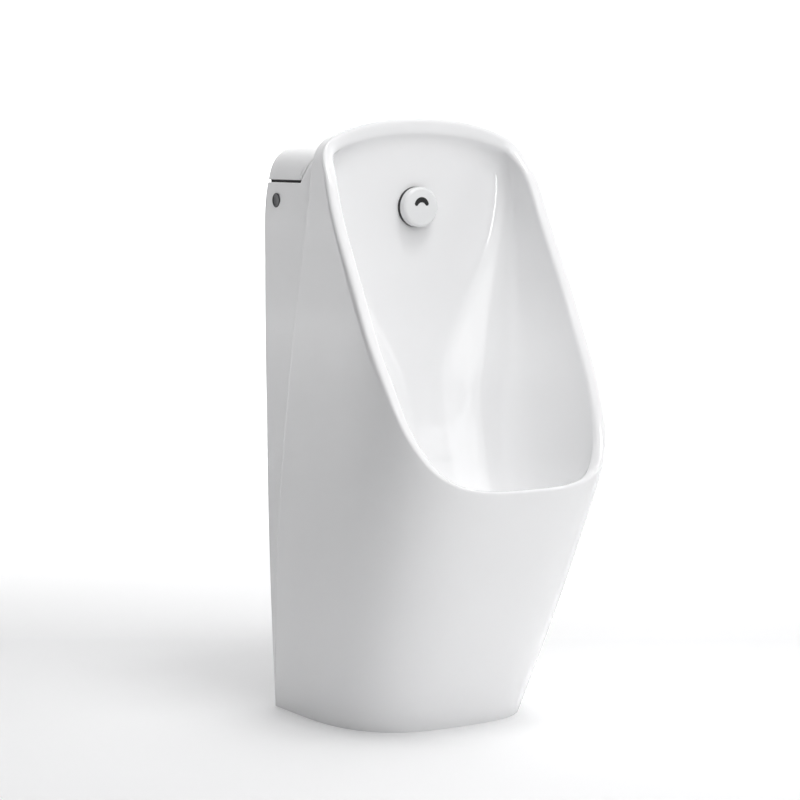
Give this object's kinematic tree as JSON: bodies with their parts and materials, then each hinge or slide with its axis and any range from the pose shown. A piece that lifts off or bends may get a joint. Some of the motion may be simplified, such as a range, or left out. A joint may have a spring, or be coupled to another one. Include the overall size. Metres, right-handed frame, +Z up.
{
  "type": "floor-standing sensor urinal",
  "caption": "Floor-standing ceramic urinal with a hooded open bowl, sensor flush head, lift-off lid and a floor drain trap.",
  "frame": {"origin": "on the floor, midway between the wall plane and the front of the lip, on the middle plane", "axes": "+Z up, -Y out of the wall towards the user, +X to the right seen from the front"},
  "size_m": [0.381, 0.444, 0.8999],
  "materials": {
    "glazed_ceramic": "glossy white glaze on vitreous china, opaque",
    "white_plastic": "glossy white",
    "black_plastic": "satin black",
    "grey_plastic": "satin grey",
    "blue_plastic": "satin",
    "dark_lens": "polished infrared window",
    "circuit_board": "solder mask green",
    "black_rubber": "matt",
    "grey_rubber": "matt translucent grey",
    "chrome_cap": "satin chrome",
    "zinc_steel": "zinc plated",
    "stainless": "brushed",
    "brass": "machined",
    "copper_coil": "black potted coil",
    "white_pipe": "white drain plastic",
    "cell_wrap": "printed foil, plain dark"
  },
  "bodies": {
    "urinal": {"ceramic_body": "glazed_ceramic", "cover_pads": "grey_rubber", "fixing_bushes": "white_plastic", "fixing_screws": "stainless", "bracket_nuts": "zinc_steel", "wall_bracket": "zinc_steel", "sensor_cap": "white_plastic", "sensor_window": "dark_lens", "sensor_board": "circuit_board", "head_gasket": "black_rubber", "spreader_ring": "black_plastic", "head_shank": "brass", "shank_washer": "black_rubber", "shank_nut": "brass", "head_elbow": "grey_plastic", "flush_tube": "white_pipe", "stop_valve_body": "brass", "union_nut": "brass", "filter_housing": "brass", "filter_mesh": "stainless", "solenoid_body": "blue_plastic", "valve_diaphragm": "black_rubber", "core_tube": "stainless", "plunger_spring": "stainless", "solenoid_coil": "copper_coil", "control_case": "grey_plastic", "case_gasket": "black_rubber", "battery_tray": "black_plastic", "batteries": "cell_wrap", "control_board": "circuit_board", "board_posts": "grey_plastic", "sensor_cable": "black_rubber", "valve_cable": "black_rubber", "drain_tail": "stainless", "drain_seal": "black_rubber", "drain_nut": "white_pipe", "trap_coupling": "white_pipe", "trap_pipe": "white_pipe", "floor_seal": "black_rubber", "floor_collar": "white_pipe"},
    "lid": {"top_cover": "glazed_ceramic"},
    "left_cap": {"screw_cap_left": "chrome_cap"},
    "right_cap": {"screw_cap_right": "chrome_cap"},
    "stop_lever": {"stop_handle": "zinc_steel"},
    "plunger": {"valve_plunger": "stainless"},
    "case_lid": {"control_cover": "grey_plastic"},
    "strainer": {"drain_strainer": "stainless"}
  },
  "joints": [
    {"name": "lid_lift", "type": "slide", "parent": "urinal", "child": "lid", "axis": [0, 0, 1], "range_m": [0, 0.09]},
    {"name": "left_cap_pull", "type": "slide", "parent": "urinal", "child": "left_cap", "axis": [-1, 0, 0], "range_m": [0, 0.012]},
    {"name": "right_cap_pull", "type": "slide", "parent": "urinal", "child": "right_cap", "axis": [1, 0, 0], "range_m": [0, 0.012]},
    {"name": "stop_lever_turn", "type": "hinge", "parent": "urinal", "child": "stop_lever", "pos_m": [0.092, 0.162, 0.6], "axis": [0, 1, 0], "range_deg": [0, 90]},
    {"name": "plunger_lift", "type": "slide", "parent": "urinal", "child": "plunger", "axis": [0, 0, 1], "range_m": [0, 0.003], "stiffness_N_per_m": 200, "springref_m": -0.01, "deforming": ["plunger_spring"]},
    {"name": "case_cover_pull", "type": "slide", "parent": "urinal", "child": "case_lid", "axis": [0, -1, 0], "range_m": [0, 0.03]},
    {"name": "strainer_lift", "type": "slide", "parent": "urinal", "child": "strainer", "axis": [0, 0, 1], "range_m": [0, 0.06]}
  ]
}
